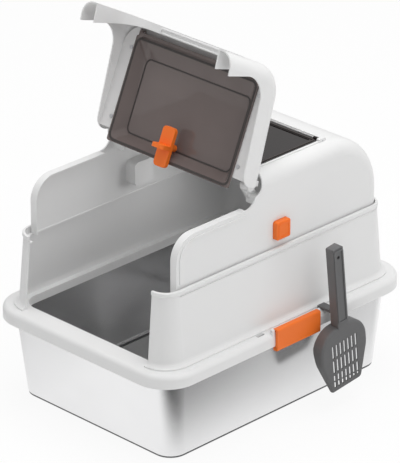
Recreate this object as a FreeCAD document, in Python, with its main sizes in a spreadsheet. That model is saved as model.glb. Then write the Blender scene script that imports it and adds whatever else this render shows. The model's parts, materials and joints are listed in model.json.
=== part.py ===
"""Enclosed litter box: steel pan, clamped rim, fence, hood with two tinted windows, swing lid and scoop.

Millimetres, +Z up. The origin is the middle of the pan's flat underside, the entry faces -Y and the
scoop hangs on the +X side. The lid stands open, as it does for filling and cleaning.
"""
import FreeCAD, Part
import math
import os
import re
import Sketcher

Vector = FreeCAD.Vector
Rotation = FreeCAD.Rotation
Placement = FreeCAD.Placement

SIZES = {
    # Steel pan
    "pan_bottom_width": 366.0,
    "pan_bottom_depth": 516.0,
    "pan_bottom_corner": 32.0,
    "pan_top_width": 389.0,
    "pan_top_depth": 560.0,
    "pan_top_corner": 43.0,
    "pan_height": 171.0,
    "pan_heel": 7.0,
    "pan_hem": 15.0,
    "steel": 1.2,
    # Rim frame that covers the pan's flange
    "rim_width": 431.0,
    "rim_depth": 600.0,
    "rim_corner": 62.0,
    "rim_drop": 21.0,
    "rim_wall": 3.0,
    "rim_shoulder": 9.0,
    "rim_opening_width": 352.0,
    "rim_opening_depth": 520.0,
    "rim_opening_corner": 34.0,
    "rim_lip_drop": 12.0,
    "rim_fit": 0.5,
    # Fence that stands on the rim
    "fence_lean": 10.5,
    "fence_top_width": 358.0,
    "fence_top_depth": 527.0,
    "fence_corner": 30.0,
    "fence_height": 133.0,
    "fence_wall": 2.5,
    "foot_reach": 9.0,
    "foot_thickness": 2.5,
    "foot_flare": 7.0,
    "bead_height": 8.0,
    "bead_proud": 2.0,
    "ledge_reach": 6.0,
    "ledge_thickness": 3.0,
    "entry_width": 294.0,
    # Hood that nests in the fence
    "nest_depth": 12.0,
    "nest_fit": 2.5,
    "hood_height": 141.0,
    "hood_wall": 2.5,
    "hood_front": 234.0,
    "notch_setback": 47.0,
    "low_wall_height": 89.0,
    "roof_edge": 24.0,
    "rear_sweep": 113.0,
    "post_corner": 42.0,
    "notch_corner": 25.0,
    "edge_flange": 14.0,
    "edge_lip": 2.5,
    "wall_bead": 1.6,
    "wall_bead_width": 3.0,
    "wall_bead_gap": 7.0,
    # Rear window and its seat in the roof
    "rear_window_width": 284.0,
    "rear_window_length": 152.0,
    "rear_window_corner": 4.0,
    "rear_window_front": 14.0,
    "window_sheet": 2.2,
    "window_recess": 2.6,
    "window_lift": 0.1,
    "window_fit": 1.0,
    "window_seat": 6.0,
    "seat_depth": 7.0,
    "window_barrel": 3.0,
    "window_barrel_width": 12.0,
    "window_barrel_lift": 1.0,
    "window_pin": 1.6,
    "window_bracket_width": 7.0,
    "window_bracket_length": 16.0,
    "window_bracket_rise": 5.5,
    "window_frame": 11.0,
    "window_frame_rise": 1.2,
    # Lid and its hinge
    "hinge_setback": 51.0,
    "hinge_drop": 17.0,
    "lid_open_angle": 107.0,
    "lid_wall": 2.5,
    "lid_gap": 2.0,
    "lid_front_sweep": 58.0,
    "lid_edge": 24.0,
    "lid_opening_front": 170.0,
    "leg_width": 33.0,
    "leg_gap": 7.0,
    "leg_lift": 0.8,
    "leg_flare": 19.5,
    "arch_lip_depth": 14.0,
    "arch_drop": 44.0,
    "arch_corner": 44.0,
    "skirt_heel": 24.0,
    "swing_gap": 1.5,
    "hinge_pin": 3.0,
    "hinge_eye": 9.0,
    "hinge_eye_width": 11.0,
    "hinge_eye_inset": 8.0,
    "hinge_arm_width": 8.0,
    "hinge_arm_eye": 6.5,
    "hinge_arm_pad": 16.0,
    "hinge_arm_drop": 21.0,
    "hinge_side_gap": 1.0,
    "pin_fit": 0.05,
    # Liner and tray window inside the lid
    "tray_tilt": 6.8,
    "tray_axis_reach": 180.0,
    "tray_axis_drop": 3.4,
    "tray_width": 280.0,
    "tray_length": 188.0,
    "tray_front": 2.0,
    "tray_depth": 19.0,
    "tray_corner": 14.0,
    "tray_slope": 34.0,
    "tray_side_slope": 14.0,
    "tray_lip": 4.0,
    "tray_flange": 2.0,
    "tray_gap": 1.5,
    "tray_pin": 1.6,
    "tray_boss": 4.0,
    "tray_boss_width": 6.0,
    "ear_round_share": 0.9,
    "liner_sheet": 2.0,
    "liner_gap": 0.3,
    "liner_length": 172.0,
    "liner_front_gap": 8.0,
    "liner_bar": 1.6,
    "liner_corner": 40.0,
    # Turn latch on the tray window
    "latch_length": 69.0,
    "latch_width": 28.0,
    "latch_plate": 7.0,
    "latch_corner": 7.0,
    "latch_overhang": 12.0,
    "latch_fin_height": 20.0,
    "latch_fin": 7.0,
    "latch_stem": 6.0,
    "latch_collar": 11.0,
    "latch_collar_height": 4.0,
    "latch_off_centre": 8.0,
    "latch_pivot": 166.0,
    "latch_float": 0.6,
    # Clamps on the rim's sides
    "side_feature_offset": 10.0,
    "clamp_length": 105.0,
    "clamp_plate": 5.0,
    "clamp_drop": 40.0,
    "clamp_barrel": 3.4,
    "clamp_pin": 1.6,
    "clamp_axis_inset": 3.5,
    "clamp_axis_lift": 4.2,
    "clamp_toe": 6.0,
    "clamp_toe_reach": 5.0,
    "clamp_stand_off": 0.7,
    "clamp_lug": 5.0,
    "clamp_side_gap": 1.0,
    "lug_round_share": 0.6,
    # Hood buttons
    "button_size": 33.0,
    "button_proud": 10.0,
    "button_edge": 4.0,
    "button_centre": 31.0,
    "button_flange": 3.0,
    "button_flange_reach": 3.0,
    "button_travel": 4.0,
    "button_fit": 0.5,
    "button_gap": 0.2,
    "housing_wall": 2.0,
    "housing_depth": 22.0,
    "spring_wire": 1.0,
    "spring_turns": 5.0,
    "spring_radius": 4.5,
    # Scoop and the rim slots that carry it
    "scoop_lean": 6.4,
    "scoop_gap": 14.5,
    "scoop_along": 99.0,
    "scoop_hang": 137.0,
    "scoop_length": 271.0,
    "handle_length": 160.0,
    "handle_width": 24.0,
    "handle_thickness": 17.0,
    "handle_round_share": 0.12,
    "head_width": 112.0,
    "head_length": 120.0,
    "head_flare": 62.0,
    "head_shoulder": 42.0,
    "head_lip_width": 74.0,
    "bowl_depth": 22.0,
    "bowl_taper": 92.0,
    "bowl_edge": 9.0,
    "bowl_round_share": 0.55,
    "bowl_sheet": 2.2,
    "sieve_slot": 4.6,
    "sieve_pitch": 9.4,
    "sieve_length": 24.0,
    "sieve_bridge": 4.5,
    "sieve_margin": 10.0,
    "hang_hole": 3.2,
    "hang_hole_drop": 18.0,
    "hook_width": 16.0,
    "hook_thickness": 5.0,
    "hook_fit": 0.6,
    "hook_inset": 13.0,
    "slot_spacing": 150.0,
    # Common to all cuts
    "overrun": 20.0,
}
HEEL_STEPS = 4
SIEVE_ROWS = 3
SIEVE_COLUMNS = 7

touch = 1e-3
doc = FreeCAD.newDocument("litter_box")
sheet = doc.addObject("Spreadsheet::Sheet", "Sizes")
for row, (alias, value) in enumerate(SIZES.items(), start=1):
    sheet.set(f"A{row}", alias)
    sheet.set(f"B{row}", str(value))
    sheet.setAlias(f"B{row}", alias)
doc.recompute()

# Levels and outer sizes that several pieces share, each written in sheet sizes
PLACES = {
    "rim_top": "(pan_height + rim_wall)",
    "rim_bottom": "(pan_height - rim_drop)",
    "fence_top": "(rim_top + fence_height)",
    "hood_base": "(fence_top - nest_depth)",
    "roof": "(fence_top + hood_height)",
    "low_wall": "(fence_top + low_wall_height)",
    "hood_half": "(fence_top_width / 2 - fence_wall - nest_fit)",
    "hood_rear": "(fence_top_depth / 2 - fence_wall - nest_fit)",
    "hinge_height": "(roof - hinge_drop)",
    "lid_lean": "(lid_open_angle - 90)",
    "eye_outer": "(hood_half - hinge_eye_inset)",
    "eye_inner": "(eye_outer - hinge_eye_width)",
    "arm_outer": "(eye_inner - hinge_side_gap)",
    "arm_inner": "(arm_outer - hinge_arm_width)",
    "swing": "(hinge_drop + swing_gap)",
    "lid_front": "(hood_rear - hinge_setback)",
    "clamp_axis": "(rim_width / 2 - clamp_axis_inset)",
    "button_height": "(fence_top + button_centre)",
    "rear_axis": "(rear_window_length - rear_window_front)",
    "rear_axis_height": "(roof + window_barrel_lift)",
    "tray_rim": "(-tray_boss)",
    "liner_low": "(liner_gap - tray_boss)",
    "scoop_out": "(rim_width / 2 + scoop_gap + bowl_depth - handle_thickness / 2)",
    "scoop_height": "(rim_top - scoop_hang)",
}
words = re.compile(r"[A-Za-z_]+")
SIDES = {"right": 1, "left": -1}
pieces = {}


def spell(expression):
    """Write an expression's place names out as sheet sizes."""
    def swap(match):
        word = match.group(0)
        return spell(PLACES[word]) if word in PLACES else word
    return words.sub(swap, str(expression))


def bound(expression):
    """The same expression as another object of the document reads it."""
    def swap(match):
        word = match.group(0)
        return f"Sizes.{word}" if word in SIZES else word
    return words.sub(swap, spell(expression))


def size(expression):
    """The value of an expression of sheet sizes."""
    return float(sheet.evalExpression(spell(expression)))


def bind(thing, prop, expression):
    """Tie a property of a document object to the sheet."""
    thing.setExpression(prop, bound(expression))


def new_body(label):
    """An empty body, kept under its node's name."""
    body = doc.addObject("PartDesign::Body", label)
    body.Label = label
    pieces[label] = body
    return body


def sketch_on(body, role, offset="0"):
    """A sketch on one of the body's own origin planes, moved along the plane's normal."""
    sketch = body.newObject("Sketcher::SketchObject", f"{body.Label}_sketch")
    plane = [feature for feature in body.Origin.OriginFeatures if feature.Role == role][0]
    sketch.AttachmentSupport = [(plane, "")]
    sketch.MapMode = "FlatFace"
    bind(sketch, "AttachmentOffset.Base.z", offset)
    return sketch


def measure(sketch, kind, geometry, expression):
    """Add one driving dimension, tied to the sheet."""
    index = sketch.addConstraint(Sketcher.Constraint(kind, *geometry, size(expression)))
    sketch.setExpression(f"Constraints[{index}]", bound(expression))


def pin_point(sketch, geometry, point, across, up):
    """Hold one point of a sketch at two sheet expressions from the sketch's origin."""
    measure(sketch, "DistanceX", (-1, 1, geometry, point), across)
    measure(sketch, "DistanceY", (-1, 1, geometry, point), up)


def outline(sketch, corners):
    """Draw a closed outline through corners (across, up, radius); one with no radius stays sharp."""
    points = [Vector(size(corner[0]), size(corner[1]), 0) for corner in corners]
    radii = [size(corner[2]) if len(corner) > 2 else 0.0 for corner in corners]
    count = len(points)
    ways = []
    for i in range(count):
        before = (points[i - 1] - points[i]).normalize()
        after = (points[(i + 1) % count] - points[i]).normalize()
        ways.append((before, after, before.getAngle(after) / 2))
    enters = [points[i] + ways[i][0] * (radii[i] / math.tan(ways[i][2])) for i in range(count)]
    leaves = [points[i] + ways[i][1] * (radii[i] / math.tan(ways[i][2])) for i in range(count)]
    lines = []
    for i in range(count):
        lines.append(sketch.addGeometry(Part.LineSegment(leaves[i], enters[(i + 1) % count])))
    for i in range(count):
        incoming, outgoing = lines[i - 1], lines[i]
        across, up = corners[i][0], corners[i][1]
        if not radii[i]:
            sketch.addConstraint(Sketcher.Constraint("Coincident", incoming, 2, outgoing, 1))
            pin_point(sketch, outgoing, 1, across, up)
            continue
        before, after, half = ways[i]
        inward = (before + after).normalize()
        middle = points[i] + inward * (radii[i] / math.sin(half) - radii[i])
        arc = sketch.addGeometry(Part.Arc(enters[i], middle, leaves[i]))
        left_turn = before.cross(after).z < 0
        first, last = (1, 2) if left_turn else (2, 1)
        sketch.addConstraint(Sketcher.Constraint("Tangent", incoming, 2, arc, first))
        sketch.addConstraint(Sketcher.Constraint("Tangent", arc, last, outgoing, 1))
        measure(sketch, "Radius", (arc,), corners[i][2])
        corner = sketch.addGeometry(Part.Point(points[i]), True)
        pin_point(sketch, corner, 1, across, up)
        sketch.addConstraint(Sketcher.Constraint("PointOnObject", corner, 1, incoming))
        sketch.addConstraint(Sketcher.Constraint("PointOnObject", corner, 1, outgoing))
    return sketch


def rectangle(sketch, left, right, low, high, corner=None):
    """A rectangle between four expressions, with round corners if a radius is given."""
    rounds = () if corner is None else (corner,)
    return outline(sketch, [
        (right, high, *rounds),
        (left, high, *rounds),
        (left, low, *rounds),
        (right, low, *rounds),
    ])


def centred(sketch, width, depth, corner=None):
    """A rectangle about the sketch's origin."""
    return rectangle(sketch, f"-({width}) / 2", f"({width}) / 2", f"-({depth}) / 2", f"({depth}) / 2", corner)


def circle(sketch, across, up, radius):
    """A full circle."""
    middle = Vector(size(across), size(up), 0)
    index = sketch.addGeometry(Part.Circle(middle, Vector(0, 0, 1), size(radius)))
    pin_point(sketch, index, 3, across, up)
    measure(sketch, "Radius", (index,), radius)
    return sketch


def extrude(kind, body, sketch, length, backwards, both):
    """A pad or pocket of a sketch, with its length tied to the sheet."""
    feature = body.newObject(kind, f"{body.Label}_{kind.split('::')[1].lower()}")
    feature.Profile = sketch
    feature.SideType = "Symmetric" if both else "One side"
    feature.Reversed = backwards
    bind(feature, "Length", length)
    doc.recompute()
    return feature


def pad(body, sketch, length, backwards=False, both=False):
    """Material along the sketch's normal."""
    return extrude("PartDesign::Pad", body, sketch, length, backwards, both)


def cut(body, sketch, length, along=False, both=False):
    """A pocket against the sketch's normal, or along it."""
    before = body.Shape.Volume
    feature = extrude("PartDesign::Pocket", body, sketch, length, along, both)
    if not body.Shape.Volume < before:
        raise ValueError(f"a cut of {body.Label} removes nothing")
    return feature


def loft(body, low, *others, subtract=False):
    """Straight walls from one outline to the next."""
    kind = "PartDesign::SubtractiveLoft" if subtract else "PartDesign::AdditiveLoft"
    feature = body.newObject(kind, f"{body.Label}_loft")
    feature.Profile = low
    feature.Sections = list(others)
    feature.Ruled = True
    doc.recompute()
    return feature


def near(value, expression):
    """Whether a measured place lies at an expression."""
    return abs(value - size(expression)) < touch


def round_edges(body, test, radius):
    """Round the edges of the body so far whose box passes a test."""
    base = body.Tip
    names = [f"Edge{i}" for i, edge in enumerate(base.Shape.Edges, 1) if test(edge.BoundBox)]
    if not names:
        raise ValueError(f"no edges to round on {body.Label}")
    feature = body.newObject("PartDesign::Fillet", f"{body.Label}_fillet")
    feature.Base = (base, names)
    bind(feature, "Radius", radius)
    doc.recompute()
    return feature


def level(box, expression):
    """Whether an edge lies flat at one height."""
    return near(box.ZMin, expression) and near(box.ZMax, expression)


def upright_at(box, expression):
    """Whether an edge lies in a plane at one place across X, on either side."""
    return near(abs(box.XMin), expression) and near(abs(box.XMax), expression) and box.XMin * box.XMax > 0


def pin(label, radius, start, end, along, up):
    """A round pin along X between two places, at one point of the side view."""
    rod = doc.addObject("Part::Cylinder", label)
    rod.Label = label
    bind(rod, "Radius", radius)
    bind(rod, "Height", f"({end}) - ({start})")
    rod.Placement = Placement(Vector(), Rotation(Vector(0, 1, 0), 90))
    bind(rod, "Placement.Base.x", start)
    bind(rod, "Placement.Base.y", along)
    bind(rod, "Placement.Base.z", up)
    pieces[label] = rod
    return rod


def on_lid(along, up):
    """Where a point of the closed lid, seen from its hinge, stands while the lid is open."""
    turn = "lid_open_angle"
    y = f"-hinge_setback + ({along}) * cos({turn}) + ({up}) * sin({turn})"
    z = f"hinge_height - ({along}) * sin({turn}) + ({up}) * cos({turn})"
    return y, z


def turn_about_x(thing, along, up, angle, across="0"):
    """Place a piece at a point of the side view and turn it about X."""
    thing.Placement = Placement(Vector(), Rotation(Vector(1, 0, 0), size(angle)))
    bind(thing, "Placement.Base.x", across)
    bind(thing, "Placement.Base.y", along)
    bind(thing, "Placement.Base.z", up)
    bind(thing, "Placement.Rotation.Angle", angle)


def pan_sections(body, wall):
    """Outlines up the pan's side, drawn in by a wall and round at the heel."""
    sections = []
    for step in range(HEEL_STEPS + 1):
        turn = f"{step} / {HEEL_STEPS} * 90"
        rise = f"({wall} + (pan_heel - {wall}) * (1 - cos({turn})))"
        draw = f"({wall} + (pan_heel - {wall}) * (1 - sin({turn})))"
        sides = []
        for side in ("width", "depth", "corner"):
            sides.append(f"pan_bottom_{side} + (pan_top_{side} - pan_bottom_{side}) * {rise} / pan_height")
        sections.append(centred(sketch_on(body, "XY_Plane", rise), *inset(sides, draw)))
    top = inset(("pan_top_width", "pan_top_depth", "pan_top_corner"), wall)
    sections.append(centred(sketch_on(body, "XY_Plane", "pan_height"), *top))
    return sections


def make_pan():
    """Pressed steel pan: tapered walls, a flange under the rim and a hem turned down at its edge."""
    body = new_body("litter_pan")
    upper = ("pan_top_width", "pan_top_depth", "pan_top_corner")
    loft(body, *pan_sections(body, "0"))
    loft(body, *pan_sections(body, "steel"), subtract=True)
    edge = inset(("rim_width", "rim_depth", "rim_corner"), "rim_shoulder + rim_fit")
    flange = centred(sketch_on(body, "XY_Plane", "pan_height"), *edge)
    centred(flange, *inset(upper, "steel"))
    pad(body, flange, "steel", backwards=True)
    hem = centred(sketch_on(body, "XY_Plane", "pan_height"), *edge)
    centred(hem, *inset(edge, "steel"))
    pad(body, hem, "pan_hem", backwards=True)


def inset(rectangle_sizes, wall):
    """A rounded rectangle drawn in by a wall on every side."""
    width, depth, corner = rectangle_sizes
    return f"({width}) - 2 * ({wall})", f"({depth}) - 2 * ({wall})", f"({corner}) - ({wall})"


def make_rim():
    """Frame over the pan's flange, with lugs for the clamps and slots for the scoop's hook."""
    body = new_body("rim_frame")
    outer = ("rim_width", "rim_depth", "rim_corner")
    opening = ("rim_opening_width", "rim_opening_depth", "rim_opening_corner")
    pad(body, centred(sketch_on(body, "XY_Plane", "rim_bottom"), *outer), "rim_drop + rim_wall")
    hollow = centred(sketch_on(body, "XY_Plane", "rim_bottom"), *inset(outer, "rim_wall"))
    cut(body, hollow, "rim_drop", along=True)
    round_edges(body, lambda box: level(box, "pan_height"), "rim_shoulder - rim_wall")
    round_edges(body, lambda box: level(box, "rim_top"), "rim_shoulder")
    lip = centred(sketch_on(body, "XY_Plane", "pan_height"), *inset(opening, "-rim_wall"))
    pad(body, lip, "rim_lip_drop", backwards=True)
    hole = centred(sketch_on(body, "XY_Plane", "rim_top"), *opening)
    cut(body, hole, "rim_drop + rim_wall")
    slot_x = "rim_width / 2 - hook_inset"
    for side in SIDES.values():
        for end in (-1, 1):
            along = f"side_feature_offset + {end} * slot_spacing / 2"
            slot = sketch_on(body, "XY_Plane", "rim_top")
            reach = "hook_thickness / 2 + hook_fit"
            rectangle(slot, f"{side} * ({slot_x}) - ({reach})", f"{side} * ({slot_x}) + {reach}",
                      f"{along} - hook_width / 2 - hook_fit", f"{along} + hook_width / 2 + hook_fit")
            cut(body, slot, "rim_wall + overrun / 2")
            start = f"side_feature_offset + {end} * (clamp_length / 2 + clamp_side_gap + clamp_lug / 2)"
            lug = sketch_on(body, "XZ_Plane", f"-({start}) - clamp_lug / 2")
            lug_top = "rim_top + clamp_axis_lift + clamp_barrel"
            outline(lug, [
                (f"{side} * (clamp_axis + clamp_barrel)", lug_top, "clamp_barrel * ear_round_share"),
                (f"{side} * (clamp_axis - clamp_barrel)", lug_top, "clamp_barrel * ear_round_share"),
                (f"{side} * (clamp_axis - clamp_barrel)", "pan_height"),
                (f"{side} * (clamp_axis + clamp_barrel)", "rim_top - rim_shoulder"),
            ])
            circle(lug, f"{side} * clamp_axis", "rim_top + clamp_axis_lift", "clamp_pin")
            pad(body, lug, "clamp_lug")


def make_fence():
    """Low wall on the rim with a flared foot, a bead along its top and an open entry."""
    body = new_body("lower_fence")
    top = ("fence_top_width", "fence_top_depth", "fence_corner")

    def section(rise, proud):
        lean = f"fence_lean * (1 - ({rise}) / fence_height)"
        return centred(sketch_on(body, "XY_Plane", f"rim_top + {rise}"), *inset(top, f"-({lean} + {proud})"))

    sections = [section("0", "foot_reach")]
    for step in range(HEEL_STEPS + 1):
        turn = f"{step} / {HEEL_STEPS} * 90"
        rise = f"foot_thickness + foot_flare * (1 - cos({turn}))"
        sections.append(section(rise, f"foot_reach * (1 - sin({turn}))"))
    sections.append(section("fence_height - bead_height", "0"))
    sections.append(section("fence_height - bead_height + bead_proud", "bead_proud"))
    sections.append(section("fence_height - bead_proud / 2", "bead_proud"))
    sections.append(section("fence_height", "bead_proud / 2"))
    loft(body, *sections)
    loft(body, section("0", "-fence_wall"), section("fence_height", "-fence_wall"), subtract=True)
    ledge = centred(sketch_on(body, "XY_Plane", "hood_base"), *top)
    centred(ledge, *inset(top, "fence_wall + ledge_reach"))
    pad(body, ledge, "ledge_thickness", backwards=True)
    entry = sketch_on(body, "XZ_Plane", "hood_front - edge_flange")
    rectangle(entry, "-entry_width / 2", "entry_width / 2", "rim_top - overrun", "fence_top + overrun")
    cut(body, entry, "fence_top_depth / 2", along=True)


def edge_band(body, side, near_gap, far_gap, start, end, middle, thickness):
    """A strip that follows the low wall's edge between two gaps, from the post to a place along Y."""
    band = sketch_on(body, "YZ_Plane", f"{side} * ({middle})")
    outline(band, [
        (f"-hood_front + {near_gap}", start),
        (f"-hood_front + {far_gap}", start),
        (f"-hood_front + {far_gap}", f"low_wall - ({far_gap})", f"post_corner - ({far_gap})"),
        (end, f"low_wall - ({far_gap})"),
        (end, f"low_wall - ({near_gap})"),
        (f"-hood_front + {near_gap}", f"low_wall - ({near_gap})", f"post_corner - ({near_gap})"),
    ])
    pad(body, band, thickness, both=True)


def make_hood():
    """Shell over the fence, cut away in front for the lid, with a window seat and button holes."""
    body = new_body("upper_hood")
    shell = sketch_on(body, "YZ_Plane")
    outline(shell, [
        ("hood_rear", "hood_base"),
        ("hood_rear", "roof", "rear_sweep"),
        ("-hood_front", "roof"),
        ("-hood_front", "hood_base"),
    ])
    pad(body, shell, "2 * hood_half", both=True)
    inner = sketch_on(body, "YZ_Plane")
    outline(inner, [
        ("hood_rear - hood_wall", "hood_base - overrun"),
        ("hood_rear - hood_wall", "roof - hood_wall", "rear_sweep - hood_wall"),
        ("-hood_front - overrun", "roof - hood_wall"),
        ("-hood_front - overrun", "hood_base - overrun"),
    ])
    cut(body, inner, "2 * (hood_half - hood_wall)", both=True)
    round_edges(body, lambda box: upright_at(box, "hood_half - hood_wall") and not level(box, "hood_base")
                and box.YMax > -size("notch_setback"), "roof_edge - hood_wall")
    notch = sketch_on(body, "YZ_Plane")
    outline(notch, [
        ("-notch_setback", "roof + overrun"),
        ("-hood_front - overrun", "roof + overrun"),
        ("-hood_front - overrun", "low_wall"),
        ("-notch_setback", "low_wall", "notch_corner"),
    ])
    cut(body, notch, "2 * hood_half + overrun", both=True)
    round_edges(body, lambda box: near(box.YMax, "-hood_front") and level(box, "low_wall"), "post_corner")
    straight_end = "-notch_setback - notch_corner"
    for side in SIDES.values():
        edge_band(body, side, "0", "edge_lip", "hood_base", straight_end,
                  "hood_half - (edge_flange + hood_wall / 2) / 2", "edge_flange - hood_wall / 2")
        edge_band(body, side, "wall_bead_gap", "wall_bead_gap + wall_bead_width", "fence_top + wall_bead_gap",
                  straight_end, "hood_half + (wall_bead - hood_wall / 2) / 2", "wall_bead + hood_wall / 2")
    swing_disc = circle(sketch_on(body, "YZ_Plane"), "-hinge_setback", "hinge_height", "swing")
    cut(body, swing_disc, "2 * hood_half + overrun", both=True)
    back_y = "-hinge_setback + swing * cos(lid_lean)"
    back_z = "hinge_height - swing * sin(lid_lean)"
    lean_room = sketch_on(body, "YZ_Plane")
    outline(lean_room, [
        ("-hinge_setback", "hinge_height"),
        (back_y, back_z),
        (f"{back_y} + (roof + overrun - ({back_z})) * tan(lid_lean)", "roof + overrun"),
        ("-notch_setback - overrun", "roof + overrun"),
        ("-notch_setback - overrun", "hinge_height"),
    ])
    cut(body, lean_room, "2 * hood_half + overrun", both=True)
    round_edges(body, lambda box: upright_at(box, "hood_half") and not level(box, "hood_base")
                and (level(box, "roof") or near(box.YMax, "hood_rear")), "roof_edge")
    make_window_seat(body)
    for side in SIDES.values():
        hole = sketch_on(body, "YZ_Plane", f"{side} * (hood_half - hood_wall - overrun)")
        half = "button_size / 2 + button_fit"
        rectangle(hole, f"side_feature_offset - ({half})", f"side_feature_offset + {half}",
                  f"button_height - ({half})", f"button_height + {half}", "button_edge + button_fit")
        cut(body, hole, "2 * overrun", along=side > 0)


def make_window_seat(body):
    """Recess in the roof with a ledge under its edge, and two brackets for the rear window's pins."""
    half = "rear_window_width / 2"
    rear = "rear_axis + window_barrel + window_fit"
    front = "-rear_window_front - window_fit"
    ring = sketch_on(body, "XY_Plane", "roof - seat_depth")
    rectangle(ring, f"-({half}) - window_fit - hood_wall", f"{half} + window_fit + hood_wall",
              f"{front} - hood_wall", f"{rear} + hood_wall", "rear_window_corner")
    pad(body, ring, "seat_depth - hood_wall / 2")
    recess = sketch_on(body, "XY_Plane", "roof")
    rectangle(recess, f"-({half}) - window_fit", f"{half} + window_fit", front, rear, "rear_window_corner")
    cut(body, recess, "window_recess")
    light = sketch_on(body, "XY_Plane", "roof")
    rectangle(light, f"-({half}) + window_seat", f"{half} - window_seat", f"{front} + window_seat",
              f"{rear} - window_seat - window_barrel", "rear_window_corner")
    cut(body, light, "seat_depth + overrun / 2")
    for side in SIDES.values():
        middle = f"{half} + window_fit + window_bracket_width / 2"
        bracket = sketch_on(body, "YZ_Plane", f"{side} * ({middle})")
        rectangle(bracket, "rear_axis - window_bracket_length / 2", "rear_axis + window_bracket_length / 2",
                  "roof - hood_wall", "roof + window_bracket_rise", "hood_wall")
        pad(body, bracket, "window_bracket_width", both=True)
        bore = sketch_on(body, "YZ_Plane", f"{side} * ({middle})")
        circle(bore, "rear_axis", "rear_axis_height", "window_pin")
        cut(body, bore, "window_bracket_width", both=True)


def make_hinge_arms():
    """Arms on the hood's inner walls that carry the lid's hinge pins, and the pins."""
    for name, side in SIDES.items():
        body = new_body(f"hood_hinge_arm_{name}")
        foot_y = "-hinge_setback + hinge_arm_pad / 2"
        foot_z = "hinge_height - hinge_arm_drop - hinge_arm_pad / 2"
        foot = sketch_on(body, "YZ_Plane", f"{side} * (hood_half - hood_wall + arm_inner) / 2")
        rectangle(foot, foot_y, f"{foot_y} + hinge_arm_pad", f"{foot_z} - hinge_arm_pad / 2",
                  f"{foot_z} + hinge_arm_pad / 2", "hinge_side_gap")
        pad(body, foot, "hood_half - hood_wall - arm_inner", both=True)
        arm = sketch_on(body, "YZ_Plane", f"{side} * (arm_outer + arm_inner) / 2")
        eye_round = "hinge_arm_eye * ear_round_share"
        outline(arm, [
            ("-hinge_setback + hinge_arm_eye", "hinge_height + hinge_arm_eye", eye_round),
            ("-hinge_setback - hinge_arm_eye", "hinge_height + hinge_arm_eye", eye_round),
            ("-hinge_setback - hinge_arm_eye", "hinge_height - hinge_arm_eye",
             "hinge_arm_eye * lug_round_share"),
            (foot_y, foot_z),
            (f"{foot_y} + hinge_arm_pad", foot_z),
            (f"{foot_y} + hinge_arm_pad", f"{foot_z} + hinge_arm_pad / 2"),
        ])
        pad(body, arm, "hinge_arm_width", both=True)
        bore = sketch_on(body, "YZ_Plane", f"{side} * (arm_outer + arm_inner) / 2")
        circle(bore, "-hinge_setback", "hinge_height", "hinge_pin")
        cut(body, bore, "hinge_arm_width", both=True)
        ends = sorted((f"{side} * arm_inner", f"{side} * eye_outer"), key=size)
        pin(f"lid_hinge_pin_{name}", "hinge_pin", *ends, "-hinge_setback", "hinge_height")


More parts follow.
